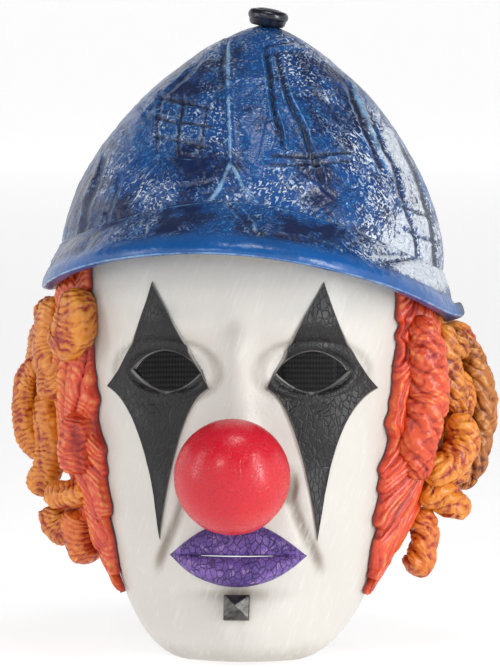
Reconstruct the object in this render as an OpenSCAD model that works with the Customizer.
// Clown head mask: a three-quarter latex mask worn on the head. The skin, a floppy
// cap and curled side hair are separate castings bonded together, with a ball nose,
// cut eye patches, lips and a chin stud on the skin. Foam pads sit inside, and an
// elastic strap with a slider turns on two rivets behind the ears.
// Frame: origin at the centre of the head space on the eye line, the face looks
// along -Y, +X is on the right of a person who looks at the face, +Z is up.
// All sizes are in millimetres.

/* [Face] */
// Height of the head from chin to vertex, which places the features by thirds
head_h = 266; // [260:1:272]
// Width of the skin at the temples
face_w = 164; // [162:1:168]
// Depth from the ear line to the brow
face_depth = 98; // [94:1:100]
// Thickness of the latex skin
skin_t = 2.5; // [2:0.1:3]

/* [Eye holes and patches] */
// Width of an eye hole
eye_w = 32; // [28:1:34]
// Height of an eye hole
eye_h = 18; // [14:1:20]
// Thickness of the black patch around an eye
patch_t = 1; // [0.8:0.1:1.4]

/* [Nose] */
// Diameter of the ball nose
nose_d = 52; // [48:1:54]
// Diameter of the latex stub that the ball slips over
stub_d = 24; // [22:1:26]

/* [Mouth] */
// Width of the lips
mouth_w = 62; // [56:1:64]
// Width of the mouth slit
slit_w = 42; // [36:1:46]
// Height of the mouth slit
slit_h = 3.4; // [2:0.2:8]
// Thickness of the lips over the skin
lip_t = 3; // [2:0.2:3.4]

/* [Chin stud] */
// Width of the square stud
stud_w = 12; // [10:0.5:13]
// Height of its pyramid
stud_h = 5; // [4:0.5:6]

/* [Cap] */
// Width of the crown
crown_w = 178; // [177:1:182]
// Depth of the crown's front half
crown_front = 104; // [103:1:107]
// Depth of the crown's back half
crown_back = 108; // [104:1:112]
// Height of the crown above the brow band
crown_h = 106; // [98:1:112]
// Thickness of the crown's latex
crown_t = 3; // [2.5:0.1:3]
// How far the bill stands out in the middle
bill_reach = 26; // [20:1:30]
// Thickness of the bill
bill_t = 6; // [5:0.5:7]
// Sideways lean of the whole cap, in degrees
cap_lean = 3.5; // [2:0.5:4]
// Diameter of the top button
button_d = 19; // [17:1:22]
// Height of the top button
button_h = 6.5; // [5:0.5:8]

/* [Hair] */
// Thickness of the hair's hollow backing
panel_t = 2.6; // [2.4:0.1:3]
// How far the backing bows out from the skin
panel_bow = 12; // [10:0.5:13]
// Scale of every lock's thickness
lock_scale = 1; // [0.9:0.05:1.1]

/* [Strap] */
// Width of the elastic
strap_w = 25; // [16:1:30]
// Thickness of one layer of the elastic
strap_t = 1.4; // [1.2:0.1:1.6]
// How far behind the rivets the strap's back run lies
strap_reach = 60; // [58:1:64]
// Length of the doubled stretch that the slider runs on
doubled_l = 64; // [56:1:66]
// Diameter of the rivets' shanks
rivet_d = 4; // [3.5:0.5:5]

/* [Pads] */
// Thickness of the forehead pad
brow_pad_t = 8; // [6:1:9]
// Thickness of the temple pads
temple_pad_t = 5; // [4:0.5:6]

/* [Hidden] */
locks_each_side = 11;

// Heights of the features: a head is three and a half thirds high, the eyes lie
// half way up, and the mouth lies a third of the way from nose to chin.
third = head_h / 3.5;
brow_z = third / 4;
nose_z = brow_z - third;
mouth_z = nose_z - third / 3;
chin_z = -head_h / 2;
eye_x = face_w / 5;
half_w = face_w / 2;
ball_z = nose_z + third / 6;
stud_z = chin_z + third * 0.35;

// The skin's edges: a flap behind each ear carries the strap's rivet.
flap_angle = 132;
flap_low_z = -42;
skin_top_z = 66;
back_depth = 95;
skin_columns = 48;
skin_rows = 24;

// Rings of the skin from the edge under the chin to the edge under the cap: height
// as a share of the chin's depth, then half-width and front depth as shares.
skin_rings = [
    [-0.985, 0.72, 0.58], [-1.000, 0.74, 0.74], [-0.985, 0.77, 0.86], [-0.915, 0.80, 0.93],
    [-0.790, 0.84, 0.96], [-0.620, 0.88, 0.97], [-0.410, 0.92, 0.95], [-0.190, 0.96, 0.94],
    [0.000, 0.99, 0.94], [0.190, 1.00, 0.99], [0.360, 0.99, 1.00], [0.496, 0.955, 0.955]];

rivet_y = 48;
rivet_z = -17;
rivet_reach = skin_t + 1.2;   // how far a rivet's shank goes inwards from the pad
pad_x = 74;      // outer face of the flat round pad that the rivet clamps
pad_r = 15;
clear = 0.12;    // gap between bonded layers
gap = 0.3;       // gap between pieces on different bodies
far = 400;

// ---------- helpers ----------

function smooth(t) = t <= 0 ? 0 : t >= 1 ? 1 : t * t * (3 - 2 * t);
function mix(a, b, t) = a + (b - a) * t;
function bell(d, w) = exp(-pow(d / w, 2));
function dome(x, w, z, h) = bell(x, w) * bell(z, h);
function unit(v) = v / norm(v);

// A point on a smooth curve through the rows of p, at t from 0 to 1.
function spline(p, t) =
    let(n = len(p) - 1,
        i = min(floor(t * n), n - 1),
        u = t * n - i,
        p1 = p[i],
        p2 = p[i + 1],
        p0 = i > 0 ? p[i - 1] : 2 * p1 - p2,
        p3 = i < n - 1 ? p[i + 2] : 2 * p2 - p1)
    0.5 * (2 * p1 + (p2 - p0) * u + (2 * p0 - 5 * p1 + 4 * p2 - p3) * u * u
        + (3 * p1 - p0 - 3 * p2 + p3) * u * u * u);

// A closed solid between two grids of points, outer[i][j] and inner[i][j].
module sheet_solid(outer, inner, closed = false) {
    n = len(outer);
    m = len(outer[0]);
    half = n * m;
    last = closed ? n - 1 : n - 2;
    points = concat([for (c = outer) each c], [for (c = inner) each c]);
    faces = concat(
        [for (i = [0:last], j = [0:m - 2])
            let(a = i * m + j, b = (i + 1) % n * m + j) each [[a, a + 1, b], [a + 1, b + 1, b]]],
        [for (i = [0:last], j = [0:m - 2])
            let(a = half + i * m + j, b = half + (i + 1) % n * m + j)
            each [[a, b, a + 1], [a + 1, b, b + 1]]],
        [for (i = [0:last], j = [0, m - 1])
            let(a = i * m + j, b = (i + 1) % n * m + j, c = half + b, d = half + a)
            each j == 0 ? [[a, b, c], [a, c, d]] : [[a, c, b], [a, d, c]]],
        closed ? [] : [for (i = [0, n - 1], j = [0:m - 2])
            let(a = i * m + j, b = a + 1, c = half + b, d = half + a)
            each i == 0 ? [[a, c, b], [a, d, c]] : [[a, b, c], [a, c, d]]]);
    polyhedron(points, faces, convexity = 8);
}

// Works a freeform boolean out as one mesh.
module one_mesh() resize([0, 0, 0]) children();

// An outline drawn in X and Z, pushed through the face along Y.
module through_face(y0 = -200, y1 = 0) translate([0, y1, 0]) rotate([90, 0, 0])
    linear_extrude(height = y1 - y0) children();

module at_rivet(side) translate([side * pad_x, rivet_y, rivet_z])
    rotate([0, side * 90, 0]) children();

// ---------- the head's surface ----------

// How far the face stands out of the plain rings at x, z: brow, sockets, nose,
// cheeks, mouth and chin.
function relief(x, z) =
    let(ax = abs(x))
    2.5 * dome(ax - eye_x, 22, z - brow_z, 8)
    - 7 * dome(ax - eye_x, 17, z, 12)
    + 5 * dome(ax, 7, z - brow_z * 0.4, 22)
    + 9 * dome(ax, 9, z - ball_z - 8, 18)
    + 6 * dome(ax - 17, 6, z - nose_z - 7, 7)
    + 4 * dome(ax - 48, 16, z - nose_z * 0.5, 16)
    + 5 * dome(ax, 26, z - mouth_z, 17)
    - 3.5 * dome(ax, 20, z - mouth_z + third * 0.24, 6)
    + 6 * dome(ax, 20, z - chin_z - 16, 14)
    - 5 * dome(ax - 44, 14, z - chin_z - 30, 18);

function skin_low_z(ang) =
    mix(chin_z * 0.985, flap_low_z, smooth((abs(ang) - 22) / (flap_angle - 22)));

function skin_base(ang, s) =
    let(ring = spline(skin_rings, s),
        squeeze = (skin_top_z - skin_low_z(ang)) / (skin_top_z - chin_z * 0.985),
        z = skin_top_z - (skin_top_z + ring[0] * chin_z) * squeeze,
        x = ring[1] * half_w * sin(ang),
        y = cos(ang) > 0 ? -ring[2] * face_depth * pow(cos(ang), 0.8) : -back_depth * cos(ang),
        flat = smooth((pad_r * 1.9 - norm([y - rivet_y, z - rivet_z])) / (pad_r * 0.9)))
    [mix(x, sign(x) * pad_x, abs(ang) > 60 ? flat : 0),
     y - relief(x, z) * max(cos(ang), 0), z];

// A point on the skin, off millimetres out of its outer face. ang turns from the
// front towards +X, and s runs from the lower edge at 0 to the upper edge at 1.
function skin_point(ang, s, off = 0) =
    let(d = 0.004,
        s0 = max(s - d, 0),
        s1 = min(s + d, 1),
        p = skin_base(ang, s),
        along = skin_base(ang + 1, s) - skin_base(ang - 1, s),
        up = skin_base(ang, s1) - skin_base(ang, s0))
    p + off * unit(cross(along, up));

// The share of the way up the skin at which its outer face reaches height z.
function share_at(ang, z, lo = 0.15, hi = 1, steps = 14) =
    steps == 0 ? (lo + hi) / 2
    : let(mid = (lo + hi) / 2)
        skin_base(ang, mid)[2] < z ? share_at(ang, z, mid, hi, steps - 1)
        : share_at(ang, z, lo, mid, steps - 1);

// The skin's own grid, from one angle to another, at one height off its face.
function skin_grid(a0, a1, columns, off) =
    [for (i = [0:columns])
        [for (j = [0:skin_rows]) skin_point(mix(a0, a1, i / columns), j / skin_rows, off)]];

// A piece laid against the skin between two angles and two heights.
module skin_layer(a0, a1, z0, z1, columns, rows, low, high) {
    function grid(off) =
        [for (i = [0:columns])
            let(ang = mix(a0, a1, i / columns), s0 = share_at(ang, z0), s1 = share_at(ang, z1))
            [for (j = [0:rows]) skin_point(ang, mix(s0, s1, j / rows), off)]];
    sheet_solid(grid(high), grid(low));
}

// ---------- outlines on the face ----------

function bow(from, pull, to, n = 8) =
    [for (i = [0:n - 1])
        let(t = i / n) (1 - t) * (1 - t) * from + 2 * t * (1 - t) * pull + t * t * to];

// An almond with its corners on the eye line.
module eye_outline(grow = 0) {
    w = eye_w / 2 + grow;
    h = eye_h + 2 * grow;
    polygon(concat(bow([-w, 0], [0, h], [w, 0], 12), bow([w, 0], [0, -h], [-w, 0], 12)));
}

// A four-pointed star with hollow sides, longest downwards.
module patch_outline() {
    top = [6, brow_z + 22];
    outer = [29, -9];
    bottom = [3, nose_z - 20];
    inner = [-20, -8];
    polygon(concat(
        bow(top, [17, 6], outer), bow(outer, [9, -18], bottom),
        bow(bottom, [-5, -16], inner), bow(inner, [-11, 12], top)));
}

module lips_outline() {
    w = mouth_w / 2;
    dip = [0, 11.5];
    polygon(concat(
        bow([-w, -1], [-w * 0.5, 14], [-6, 14], 8), bow([-6, 14], [-2, 14], dip, 3),
        bow(dip, [2, 14], [6, 14], 3), bow([6, 14], [w * 0.5, 14], [w, -1], 8),
        bow([w, -1], [w * 0.55, -14], [0, -14], 8), bow([0, -14], [-w * 0.55, -14], [-w, -1], 8)));
}

module slit_outline() {
    w = slit_w / 2;
    polygon(concat(bow([-w, 0], [0, slit_h], [w, 0], 10), bow([w, 0], [0, -slit_h], [-w, 0], 10)));
}

// ---------- face ----------

ball_gap = 24;    // how far the ball's centre stands in front of the brow
stub_tip = 9;     // how far the stub's end lies behind the ball's centre
stub_root = 36;   // where the stub starts, behind the ball's centre
stub_bore = 46;   // where the stub's bore starts, behind the ball's centre
nostril_x = 15;
nostril_d = 5;
stud_hole_d = 2.6;
rivet_hole_d = rivet_d + 0.2;
drill = 20;       // length of a cut through one wall

module nose_place() translate([0, -face_depth - ball_gap, ball_z]) rotate([90, 0, 0]) children();

module face_skin() color("ivory") one_mesh() difference() {
    union() {
        sheet_solid(
            skin_grid(-flap_angle, flap_angle, skin_columns, 0),
            skin_grid(-flap_angle, flap_angle, skin_columns, -skin_t));
        nose_place() translate([0, 0, -stub_root])
            cylinder(d = stub_d, h = stub_root - stub_tip, $fn = 40);
    }
    nose_place() translate([0, 0, -stub_bore])
        cylinder(d = stub_d - 2 * skin_t, h = stub_bore - stub_tip - skin_t, $fn = 32);
    for (side = [-1, 1]) {
        through_face() translate([side * eye_x, 0]) eye_outline();
        through_face(-130) translate([side * nostril_x, nose_z + 1])
            circle(d = nostril_d, $fn = 20);
        at_rivet(side) cylinder(d = rivet_hole_d, h = drill, center = true, $fn = 24);
    }
    through_face() translate([0, mouth_z]) slit_outline();
    at_stud() cylinder(d = stud_hole_d, h = drill, center = true, $fn = 20);
}

patch_angle = 77;    // how far round the head the patches' sheets reach
lip_angle = 44;

module eye_patch(side) color("black") one_mesh() intersection() {
    from = side < 0 ? -patch_angle : 0;
    sheet_solid(
        skin_grid(from, from + patch_angle, 14, patch_t + clear),
        skin_grid(from, from + patch_angle, 14, clear));
    through_face() translate([side * eye_x, 0]) difference() {
        scale([side, 1]) patch_outline();
        eye_outline(0.6);
    }
}

module lip(upper) color("rebeccapurple") one_mesh() intersection() {
    sheet_solid(
        skin_grid(-lip_angle, lip_angle, 16, lip_t),
        skin_grid(-lip_angle, lip_angle, 16, clear));
    through_face() translate([0, mouth_z]) difference() {
        intersection() {
            lips_outline();
            translate([-50, upper ? 0.15 : -50.15]) square([100, 50]);
        }
        offset(0.5) slit_outline();
    }
}

module nose_ball() color("crimson") nose_place() difference() {
    sphere(d = nose_d, $fn = 96);
    translate([0, 0, -nose_d]) cylinder(d = stub_d + 0.6, h = nose_d - stub_tip + 0.4, $fn = 48);
}

// The chin's outer face at the stud, and the skin's own direction there.
function front_y(z) = skin_base(0, share_at(0, z))[1];
stud_y = front_y(stud_z);
stud_pitch = atan2(front_y(stud_z + stud_w / 2) - front_y(stud_z - stud_w / 2), stud_w);

module at_stud() translate([0, stud_y, stud_z]) rotate([90 - stud_pitch, 0, 0]) children();

stud_tail = 5.2;     // how far the stud's post reaches behind the chin's face

module chin_stud() color("dimgray") at_stud() {
    base_h = 1.5;
    seat = 0.8;
    translate([0, 0, seat]) linear_extrude(height = base_h) square(stud_w, center = true);
    translate([0, 0, seat + base_h]) rotate(45)
        cylinder(r1 = stud_w / sqrt(2), r2 = 0.4, h = stud_h, $fn = 4);
    translate([0, 0, -stud_tail]) cylinder(d = 2.2, h = seat + stud_tail + 0.2, $fn = 24);
}

module stud_backing() color("silver") at_stud() translate([0, 0, -stud_tail]) difference() {
    cylinder(d = 8, h = 1, $fn = 32);
    translate([0, 0, -1]) cylinder(d = 2.4, h = 3, $fn = 24);
}

// ---------- cap ----------

band_z = 50;      // height at which the crown is widest
crown_columns = 40;
crown_rows = 12;
top_share = 0.995;   // how far up to the button the crown's rows go

module lean() translate([0, 0, band_z]) rotate([0, cap_lean, 0])
    translate([0, 0, -band_z]) children();

// Lower edge of the crown: high over the brow, low at the nape.
function rim_z(ang) = mix(band_z + 4, 14, smooth((abs(ang) - 40) / 130));

// The crown's half-width as a share, at h from 0 at the band to 1 at the button.
function crown_share(h) = h <= 0 ? 1 - 0.05 * h * h : pow(1 - pow(h, 1.65), 0.7);

function crown_point(ang, z, off = 0) =
    let(r = crown_share((z - band_z) / crown_h),
        depth = cos(ang) > 0 ? crown_front : crown_back)
    [(crown_w / 2 * r + off) * sin(ang), -(depth * r + off) * cos(ang), z];

// Rows crowd together towards the top, where the crown turns over.
function crown_row_z(ang, j) =
    let(t = j / crown_rows, ease = 1 - pow(1 - t, 1.7))
    mix(rim_z(ang), band_z + crown_h * top_share, ease);

function crown_grid(off) =
    [for (i = [0:crown_columns - 1])
        let(ang = 360 * i / crown_columns - 180)
        [for (j = [0:crown_rows])
            let(z = crown_row_z(ang, j), top = smooth((z - band_z) / crown_h))
            crown_point(ang, z + off * top * 0.9, off * (1 - 0.75 * top))]];

module cap_crown() color("royalblue") lean() sheet_solid(crown_grid(0), crown_grid(-crown_t), true);

bill_half = 108;
bill_columns = 36;
// The bill's root on the crown, and its edge, both arch over the brow. Past the temples
// the section closes to a drooping point at each corner.
function bill_close(ang) = 1 - smooth((abs(ang) - 78) / (bill_half - 78));
function bill_root_z(ang) =
    mix(77, 47, smooth(abs(ang) / 90)) - 17 * smooth((abs(ang) - 80) / (bill_half - 80));
function bill_edge_z(ang) = mix(56, 27, smooth(abs(ang) / 90));
function bill_out(ang) = mix(bill_reach, 6, smooth(abs(ang) / 84)) * bill_close(ang) + 1.5;

// The bill's section at one angle: from its root out to its edge and back underneath.
function bill_section(ang) =
    let(out = bill_out(ang),
        zr = bill_root_z(ang),
        ze = bill_edge_z(ang),
        t = min(bill_t, out * 0.6))
    [crown_point(ang, zr, gap), crown_point(ang, mix(zr, ze, 0.35), out * 0.5 + 1),
     crown_point(ang, mix(zr, ze, 0.7), out * 0.9 + 1), crown_point(ang, ze + 2, out + 1),
     crown_point(ang, ze - 1, out - t * 0.4), crown_point(ang, ze, max(out - t, gap + 0.2)),
     crown_point(ang, mix(zr, ze, 0.7), max(out * 0.6 - t * 0.9, gap + 0.1)),
     crown_point(ang, mix(zr, ze, 0.3), gap)];

module cap_bill() color("royalblue") lean() {
    rings = [for (i = [0:bill_columns]) bill_section(mix(-bill_half, bill_half, i / bill_columns))];
    n = len(rings);
    m = len(rings[0]);
    polyhedron(
        [for (r = rings) each r],
        concat(
            [for (i = [0:n - 2], j = [0:m - 1])
                let(a = i * m + j, b = i * m + (j + 1) % m)
                each [[a, a + m, b], [b, a + m, b + m]]],
            [[for (j = [0:m - 1]) j]],
            [[for (j = [m - 1:-1:0]) (n - 1) * m + j]]),
        convexity = 6);
}

button_lift = 1.4;   // the button's underside over the crown's top

module cap_button() color("black") lean()
    translate([0, 0, band_z + crown_h + button_lift]) rotate([0, 5, 0]) {
    r = button_d / 2;
    rotate_extrude($fn = 48) polygon(concat(
        [[0, 0], [r * 0.72, 0]],
        [for (t = [-60:20:90]) [r - 3 + 3 * cos(t), button_h * 0.42 + button_h * 0.42 * sin(t)]],
        [[r * 0.45, button_h * 0.96], [0, button_h]]));
    translate([0, 0, -5]) cylinder(r = 2, h = 5.5, $fn = 24);
}

// ---------- hair ----------

panel_front = 57;
panel_back = 108;

// A point on the panel's own grid, u along it and v up it from 0 to 1. The casting is
// hollow: it bows away from the skin between its edges.
function panel_point(side, u, v, off) =
    let(ang = mix(panel_front, panel_back, u),
        top = rim_z(ang) - (side < 0 ? 4 : 9) - side * half_w * sin(ang) * sin(cap_lean),
        s0 = share_at(ang, skin_low_z(ang) + 7),
        s1 = share_at(ang, top),
        bow = panel_bow * pow(sin(180 * u) * sin(180 * v), 0.7))
    skin_point(ang, mix(s0, s1, v), bow + off);

function panel_grid(side, off, columns = 14, rows = 12) =
    [for (i = [0:columns]) [for (j = [0:rows]) panel_point(side, i / columns, j / rows, off)]];

module on_side(side) mirror([side < 0 ? 1 : 0, 0, 0]) children();

module hair_panel(side) color("orangered") on_side(side)
    sheet_solid(panel_grid(side, 2 * gap + panel_t), panel_grid(side, 2 * gap));

// Locks by side, as seen from the front: each is a path through [x, y, z] points, and
// its radii from root to tip.
locks_left = [
    [[[77, -60, 36], [76, -63, 23], [80, -58, 12], [87, -48, 16]], [7, 9, 6]],
    [[[89, -28, 30], [91, -26, 8], [88, -30, -6], [86, -33, -18]], [8, 9, 11]],
    [[[93, -14, 2], [104, -8, -8], [107, -6, -22], [105, -8, -36], [97, -12, -46]], [6, 5.5, 6]],
    [[[96, -12, -12], [95, -16, -30], [94, -16, -46], [98, -14, -57], [101, -12, -64]], [6, 6.5, 6]],
    [[[72, -48, -56], [78, -44, -60], [85, -38, -62], [91, -30, -62]], [4.5, 6, 6]],
    [[[76, -52, -22], [77, -52, -38], [77, -51, -50]], [7, 8, 7]],
    [[[92, -22, -68], [90, -24, -76], [83, -28, -84]], [6, 7, 6]],
    [[[77, -34, -68], [78, -32, -80], [74, -34, -94]], [8, 8, 7]],
    [[[92, -16, 29], [96, -15, 22], [94, -15, 13]], [4, 5, 4]],
    [[[92, 14, 26], [97, 16, 0], [96, 16, -28], [90, 12, -54]], [8, 11, 7]],
    [[[85, 30, 20], [90, 31, 0], [88, 31, -20], [82, 28, -44]], [7, 9, 6]]];
locks_right = [
    [[[80, -52, 24], [83, -50, 6], [84, -48, -14], [80, -51, -34], [80, -50, -52]], [7, 9, 7]],
    [[[89, -26, 18], [92, -24, 0], [95, -22, -16], [96, -20, -26]], [6, 6, 5]],
    [[[95, -8, 10], [103, -4, 0], [107, -2, -16], [107, -2, -32], [104, -6, -48], [98, -8, -60]], [5, 6, 5]],
    [[[92, -16, -4], [97, -14, -16], [98, -13, -28]], [6, 7, 5]],
    [[[82, -42, -49], [91, -36, -48], [99, -29, -40], [100, -27, -32], [93, -30, -26]], [6.5, 7, 6]],
    [[[81, -38, -60], [88, -32, -60], [95, -26, -66], [94, -25, -72]], [6, 7, 5.5]],
    [[[78, -31, -67], [82, -30, -79], [80, -33, -90], [75, -37, -97]], [6.5, 6, 7]],
    [[[89, -20, -40], [94, -18, -50], [95, -18, -58]], [6, 7, 6]],
    [[[93, -14, 15], [95, -12, 8], [96, -12, 0]], [5, 6, 5]],
    [[[92, 14, 17], [97, 16, -6], [96, 16, -30], [90, 12, -56]], [8, 11, 7]],
    [[[85, 30, 16], [90, 31, -2], [88, 31, -22], [82, 28, -46]], [7, 9, 6]]];

lock_sides = 8;
lock_rings = 12;

// A lock swells from its root and closes to a round tip.
module lock(path, radii) {
    function radius(t) =
        let(ends = sqrt(max(0, 1 - pow(abs(2 * t - 1), 8))))
        lock_scale * max(0.6, spline(radii, t) * ends);
    function ring(t) =
        let(p = spline(path, t),
            d = unit(spline(path, min(t + 0.01, 1)) - spline(path, max(t - 0.01, 0))),
            u = unit(cross([0, 1, 0], d)),
            v = cross(d, u))
        [for (k = [0:lock_sides - 1])
            let(a = 360 * k / lock_sides)
            p + radius(t) * (cos(a) * u + sin(a) * v)];
    rings = [for (i = [0:lock_rings]) ring(i / lock_rings)];
    n = lock_rings + 1;
    polyhedron(
        [for (r = rings) each r],
        concat(
            [for (i = [0:n - 2], k = [0:lock_sides - 1])
                let(a = i * lock_sides + k, b = i * lock_sides + (k + 1) % lock_sides)
                each [[a, a + lock_sides, b], [b, a + lock_sides, b + lock_sides]]],
            [[for (k = [0:lock_sides - 1]) k]],
            [[for (k = [lock_sides - 1:-1:0]) (n - 1) * lock_sides + k]]),
        convexity = 6);
}

// Each lock is rooted in the panel and in the locks beside it, and bonded there.
module hair_lock(side, i) color("darkorange") on_side(side) {
    locks = side < 0 ? locks_left : locks_right;
    lock(locks[i - 1][0], locks[i - 1][1]);
}

// ---------- pads ----------

// The strip that fills the space between the skin and the crown and bonds them.
band_angle = 128;
band_rows = [54, 59, 64];

module cap_band() {
    columns = 44;
    function at(ang, z) =
        let(p = crown_point(ang, z, -crown_t - 3 * gap), c = cos(cap_lean), q = sin(cap_lean))
        [p[0] * c + (z - band_z) * q, p[1], band_z + (z - band_z) * c - p[0] * q];
    outer = [for (i = [0:columns])
        let(ang = mix(-band_angle, band_angle, i / columns))
        [for (z = band_rows) at(ang, z)]];
    inner = [for (c = outer) [for (p = c)
        let(ang = atan2(p[0], -p[1]), s = share_at(ang, p[2])) skin_point(ang, s, 2 * clear)]];
    color("dimgray") sheet_solid(outer, inner);
}

brow_pad_angle = 34;
brow_pad_z = [34, 62];
temple_pad_angle = 14;
temple_pad_z = [8, 44];
pad_face = -skin_t - gap;     // where a pad's glued face lies, off the skin's outer face

module forehead_pad() color("wheat")
    skin_layer(-brow_pad_angle, brow_pad_angle, brow_pad_z[0], brow_pad_z[1], 10, 4,
        pad_face - brow_pad_t, pad_face);

module temple_pad(side) color("wheat")
    skin_layer(side * 90 - temple_pad_angle, side * 90 + temple_pad_angle,
        temple_pad_z[0], temple_pad_z[1], 5, 4, pad_face - temple_pad_t, pad_face);

// A foam lens under the top of the crown, flat below.
module crown_pad() color("wheat") lean() {
    low = 118;
    high = 138;
    columns = 28;
    rows = 4;
    top = [for (i = [0:columns - 1])
        [for (j = [0:rows])
            crown_point(360 * i / columns, mix(low, high, j / rows), -crown_t * 1.6 - 2 * j)]];
    bottom = [for (c = top) [for (p = c) [p[0], p[1], low - 1]]];
    points = concat([for (c = top) each c], [for (c = bottom) c[0]]);
    m = rows + 1;
    polyhedron(points, concat(
        [for (i = [0:columns - 1], j = [0:rows - 1])
            let(a = i * m + j, b = (i + 1) % columns * m + j)
            each [[a, a + 1, b], [a + 1, b + 1, b]]],
        [for (i = [0:columns - 1])
            let(a = i * m, b = (i + 1) % columns * m,
                c = columns * m + i, d = columns * m + (i + 1) % columns)
            each [[a, b, c], [b, d, c]]],
        [[for (i = [columns - 1:-1:0]) i * m + rows]],
        [[for (i = [0:columns - 1]) columns * m + i]]), convexity = 4);
}

// ---------- strap ----------

strap_x = pad_x + 0.2;                             // inner face of the strap's side runs
back_y = rivet_y + strap_reach;                    // outer face of the strap's back run
turn_r = 34;                                       // radius where the band turns behind the head
layer_gap = 1.3;
layer_y = back_y - 2 * strap_t - layer_gap;        // inner face of the doubled stretch

module rivet(side) color("silver") at_rivet(side) {
    head = 1.8;
    seat = 0.2 + strap_t + 0.15;
    translate([0, 0, seat]) rotate_extrude($fn = 40)
        polygon([[0, 0], [5.5, 0], [5.3, head * 0.45], [4, head * 0.85], [2, head], [0, head]]);
    translate([0, 0, -rivet_reach - 0.5]) cylinder(d = rivet_d, h = rivet_reach + seat + 1, $fn = 32);
    translate([0, 0, -rivet_reach - 1.1]) cylinder(r = 4, h = 1, $fn = 40);
}

module washer(side) color("silver") at_rivet(side) translate([0, 0, -skin_t - 1.05]) difference() {
    cylinder(r = 7, h = 1, $fn = 40);
    translate([0, 0, -1]) cylinder(d = rivet_d + 0.1, h = 3, $fn = 32);
}

// Plan of the band: a U open to the front, w wide inside at its back run.
module band_plan(front_y) {
    module outline(x, y, r) hull() {
        for (s = [-1, 1]) translate([s * (x - r), y - r]) circle(r = r, $fn = 64);
        translate([-x, front_y]) square([2 * x, 1]);
    }
    difference() {
        outline(strap_x + strap_t, back_y, turn_r);
        translate([0, -0.01]) outline(strap_x, back_y - strap_t, turn_r - strap_t);
        translate([-far / 2, front_y - far]) square(far);
    }
}

module elastic_strap() color("black") {
    end_r = strap_w / 2;
    fold = 3;
    difference() {
        union() {
            translate([0, 0, rivet_z - end_r]) linear_extrude(height = strap_w) {
                band_plan(rivet_y);
                // The band's end folds back inside the back run.
                translate([-doubled_l / 2, layer_y]) square([doubled_l, strap_t]);
                translate([doubled_l / 2 - fold, layer_y]) square([fold, back_y - layer_y - strap_t / 2]);
            }
            for (side = [-1, 1]) translate([side * (strap_x + strap_t / 2), rivet_y, rivet_z])
                rotate([0, 90, 0]) cylinder(r = end_r, h = strap_t, center = true, $fn = 48);
        }
        translate([0, rivet_y, rivet_z]) rotate([0, 90, 0])
            cylinder(d = rivet_d + 0.1, h = far, center = true, $fn = 32);
    }
}

slider_l = 12;
module strap_slider() color("black") translate([0, layer_y, rivet_z]) {
    wall = 1.4;
    room = 0.35;
    depth = back_y - layer_y + 2 * room;
    height = strap_w + 2 * room;
    difference() {
        translate([-slider_l / 2, -room - wall, -height / 2 - 2])
            cube([slider_l, depth + 2 * wall, height + 4]);
        translate([-slider_l / 2 - 1, -room, -height / 2]) cube([slider_l + 2, depth, height]);
    }
    translate([-slider_l / 2 + 3, strap_t + layer_gap / 2 - 0.3, -height / 2 - 1])
        cube([slider_l - 6, 0.6, height + 2]);
}

// ---------- nodes ----------

face_skin();
eye_patch(-1);  // eye_patch_left
eye_patch(1);  // eye_patch_right
lip(true);  // upper_lip
lip(false);  // lower_lip
nose_ball();
chin_stud();
stud_backing();
cap_crown();
cap_bill();
cap_button();
hair_panel(-1);  // hair_panel_left
hair_panel(1);  // hair_panel_right
for (i = [1:locks_each_side]) {
    hair_lock(-1, i);
    hair_lock(1, i);
}
cap_band();
forehead_pad();
temple_pad(-1);  // temple_pad_left
temple_pad(1);  // temple_pad_right
crown_pad();
rivet(-1);  // rivet_left
rivet(1);  // rivet_right
washer(-1);  // washer_left
washer(1);  // washer_right
elastic_strap();
strap_slider();
